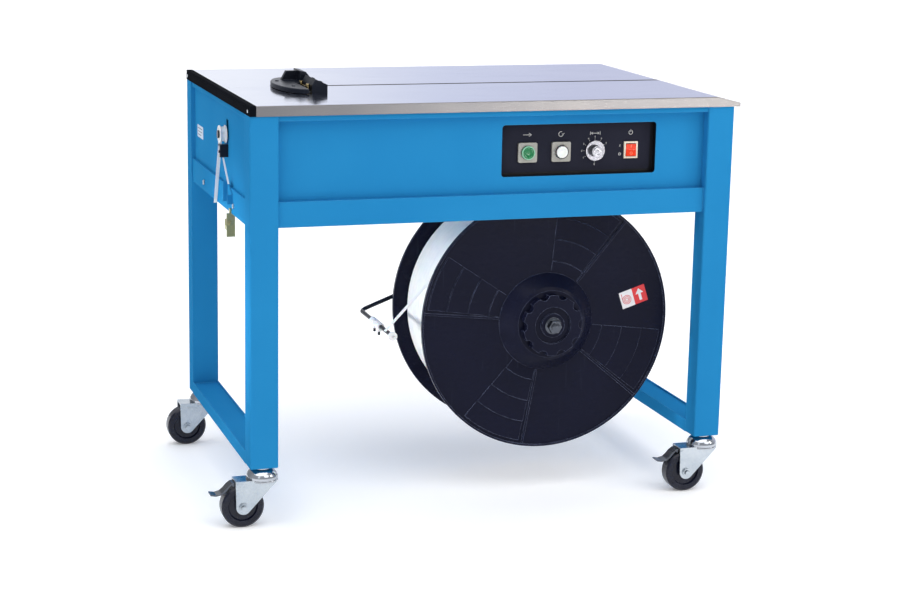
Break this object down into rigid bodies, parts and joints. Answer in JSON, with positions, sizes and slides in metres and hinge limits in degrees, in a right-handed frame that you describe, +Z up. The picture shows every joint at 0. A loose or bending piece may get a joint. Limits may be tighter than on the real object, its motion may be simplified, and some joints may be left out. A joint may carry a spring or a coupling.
{
  "type": "semi automatic strapping machine",
  "caption": "Table-type strapping machine on casters: steel top with a strapping head and strap slot, control panel in the apron, strap reel hung below.",
  "frame": {"origin": "on the floor under the middle of the machine's bounding box", "axes": "+X along the table's length, from the strapping head's end to the ramped end; +Y from the operator's side to the rear; +Z up"},
  "size_m": [0.963, 0.5768, 0.763],
  "materials": {
    "blue_paint": "powder coat, satin",
    "table_steel": "polished stainless sheet",
    "plain_steel": "machined",
    "zinc": "bright zinc plate",
    "olive_zinc": "yellow zinc plate",
    "chrome": "polished",
    "black_steel": "black oxide, satin",
    "black_trim": "moulded, satin",
    "panel_dark": "textured black",
    "bezel_grey": "moulded",
    "green_cap": "moulded, glossy",
    "white_cap": "moulded, glossy",
    "cream_frame": "moulded",
    "red_rocker": "translucent red, glossy",
    "knob_metal": "turned",
    "brass": "polished",
    "reel_plastic": "moulded, satin",
    "strap": "white polypropylene strap",
    "nylon_white": "moulded",
    "motor_grey": "painted casting",
    "belt_rubber": "moulded",
    "board_green": "printed circuit board",
    "core_steel": "laminated core",
    "caster_rubber": "moulded"
  },
  "bodies": {
    "frame": {"front_legs": "blue_paint", "rear_legs": "blue_paint", "foot_bars": "blue_paint", "frame_rails": "blue_paint", "front_panel": "blue_paint", "rear_panel": "blue_paint", "left_panel": "blue_paint", "right_panel": "blue_paint", "bottom_tray": "blue_paint", "table_front": "table_steel", "table_rear": "table_steel", "end_strip": "black_trim", "strap_track": "plain_steel", "panel_screws": "zinc", "control_box": "panel_dark", "button_bezels": "bezel_grey", "switch_frame": "cream_frame", "press_frame": "plain_steel", "head_block": "black_steel", "brass_guides": "brass", "drive_motor": "motor_grey", "drive_belt": "belt_rubber", "transformer": "core_steel", "circuit_board": "board_green", "reel_hanger": "blue_paint", "roller_bracket": "black_steel", "side_strap_guide": "blue_paint", "lower_guide_bracket": "olive_zinc", "side_strap": "strap", "cable_gland": "black_trim", "caster_caps": "chrome"},
    "feed_button": {"feed_button": "green_cap"},
    "reset_button": {"reset_button": "white_cap"},
    "length_knob": {"length_knob": "knob_metal"},
    "power_rocker": {"power_rocker": "red_rocker"},
    "slide_table": {"slide_table": "black_steel"},
    "press_rams": {"press_rams": "plain_steel"},
    "cam_shaft": {"cam_shaft": "plain_steel"},
    "motor_pulley": {"motor_pulley": "plain_steel"},
    "feed_roller_lower": {"feed_roller_lower": "plain_steel"},
    "feed_roller_upper": {"feed_roller_upper": "plain_steel"},
    "reel": {"reel_front_flange": "reel_plastic", "reel_rear_flange": "reel_plastic", "reel_drum": "reel_plastic", "strap_coil": "strap", "reel_handwheel": "reel_plastic"},
    "brake_arm": {"brake_arm": "black_steel", "arm_guides": "nylon_white", "reel_strap": "strap"},
    "side_roller": {"side_roller": "nylon_white"},
    "caster_front_left": {"caster_fork_front_left": "zinc"},
    "wheel_front_left": {"caster_wheel_front_left": "caster_rubber"},
    "pedal_front_left": {"brake_pedal_front_left": "plain_steel"},
    "caster_front_right": {"caster_fork_front_right": "zinc"},
    "wheel_front_right": {"caster_wheel_front_right": "caster_rubber"},
    "pedal_front_right": {"brake_pedal_front_right": "plain_steel"},
    "caster_rear_left": {"caster_fork_rear_left": "zinc"},
    "wheel_rear_left": {"caster_wheel_rear_left": "caster_rubber"},
    "caster_rear_right": {"caster_fork_rear_right": "zinc"},
    "wheel_rear_right": {"caster_wheel_rear_right": "caster_rubber"}
  },
  "joints": [
    {"name": "feed_button_press", "type": "slide", "parent": "frame", "child": "feed_button", "axis": [0, 1, 0], "range_m": [0, 0.0035], "stiffness_N_per_m": 300, "springref_m": -0.002},
    {"name": "reset_button_press", "type": "slide", "parent": "frame", "child": "reset_button", "axis": [0, 1, 0], "range_m": [0, 0.0035], "stiffness_N_per_m": 300, "springref_m": -0.002},
    {"name": "length_knob_turn", "type": "hinge", "parent": "frame", "child": "length_knob", "pos_m": [0.219, -0.2525, 0.639], "axis": [0, 1, 0], "range_deg": [-135, 135]},
    {"name": "power_switch", "type": "hinge", "parent": "frame", "child": "power_rocker", "pos_m": [0.287, -0.2425, 0.639], "axis": [1, 0, 0], "range_deg": [0, 8]},
    {"name": "slide_table_open", "type": "slide", "parent": "frame", "child": "slide_table", "axis": [0, 1, 0], "range_m": [0, 0.025]},
    {"name": "press_rams_lift", "type": "slide", "parent": "frame", "child": "press_rams", "axis": [0, 0, 1], "range_m": [0, 0.008]},
    {"name": "cam_shaft_turn", "type": "hinge", "parent": "frame", "child": "cam_shaft", "pos_m": [-0.262, 0, 0.645], "axis": [0, 1, 0], "continuous": true},
    {"name": "motor_pulley_turn", "type": "hinge", "parent": "frame", "child": "motor_pulley", "pos_m": [-0.06, 0.04, 0.64], "axis": [0, 1, 0], "continuous": true},
    {"name": "feed_roller_lower_turn", "type": "hinge", "parent": "frame", "child": "feed_roller_lower", "pos_m": [-0.345, 0, 0.6442], "axis": [0, 1, 0], "continuous": true},
    {"name": "feed_roller_upper_turn", "type": "hinge", "parent": "frame", "child": "feed_roller_upper", "pos_m": [-0.345, 0, 0.6798], "axis": [0, 1, 0], "continuous": true},
    {"name": "reel_spin", "type": "hinge", "parent": "frame", "child": "reel", "pos_m": [0.156, -0.097, 0.319], "axis": [0, 1, 0], "continuous": true},
    {"name": "brake_arm_lift", "type": "hinge", "parent": "frame", "child": "brake_arm", "pos_m": [0.094, 0.012, 0.398], "axis": [0, 1, 0], "range_deg": [0, 12]},
    {"name": "side_roller_spin", "type": "hinge", "parent": "frame", "child": "side_roller", "pos_m": [-0.4145, -0.06, 0.658], "axis": [1, 0, 0], "continuous": true},
    {"name": "swivel_front_left", "type": "hinge", "parent": "frame", "child": "caster_front_left", "pos_m": [-0.3885, -0.2605, 0.085], "axis": [0, 0, 1], "continuous": true},
    {"name": "wheel_spin_front_left", "type": "hinge", "parent": "caster_front_left", "child": "wheel_front_left", "pos_m": [-0.4245, -0.2605, 0.0375], "axis": [0, 1, 0], "continuous": true},
    {"name": "pedal_press_front_left", "type": "hinge", "parent": "caster_front_left", "child": "pedal_front_left", "pos_m": [-0.4345, -0.2605, 0.0784], "axis": [0, -1, 0], "range_deg": [0, 10]},
    {"name": "swivel_front_right", "type": "hinge", "parent": "frame", "child": "caster_front_right", "pos_m": [0.4465, -0.2605, 0.085], "axis": [0, 0, 1], "continuous": true},
    {"name": "wheel_spin_front_right", "type": "hinge", "parent": "caster_front_right", "child": "wheel_front_right", "pos_m": [0.4105, -0.2605, 0.0375], "axis": [0, 1, 0], "continuous": true},
    {"name": "pedal_press_front_right", "type": "hinge", "parent": "caster_front_right", "child": "pedal_front_right", "pos_m": [0.4005, -0.2605, 0.0784], "axis": [0, -1, 0], "range_deg": [0, 10]},
    {"name": "swivel_rear_left", "type": "hinge", "parent": "frame", "child": "caster_rear_left", "pos_m": [-0.3885, 0.2605, 0.085], "axis": [0, 0, 1], "continuous": true},
    {"name": "wheel_spin_rear_left", "type": "hinge", "parent": "caster_rear_left", "child": "wheel_rear_left", "pos_m": [-0.4245, 0.2605, 0.0375], "axis": [0, 1, 0], "continuous": true},
    {"name": "swivel_rear_right", "type": "hinge", "parent": "frame", "child": "caster_rear_right", "pos_m": [0.4465, 0.2605, 0.085], "axis": [0, 0, 1], "continuous": true},
    {"name": "wheel_spin_rear_right", "type": "hinge", "parent": "caster_rear_right", "child": "wheel_rear_right", "pos_m": [0.4105, 0.2605, 0.0375], "axis": [0, 1, 0], "continuous": true}
  ],
  "couplings": [
    {"joint": "motor_pulley_turn", "follows": "cam_shaft_turn", "ratio": 2.3},
    {"joint": "feed_roller_upper_turn", "follows": "feed_roller_lower_turn", "ratio": -1}
  ]
}
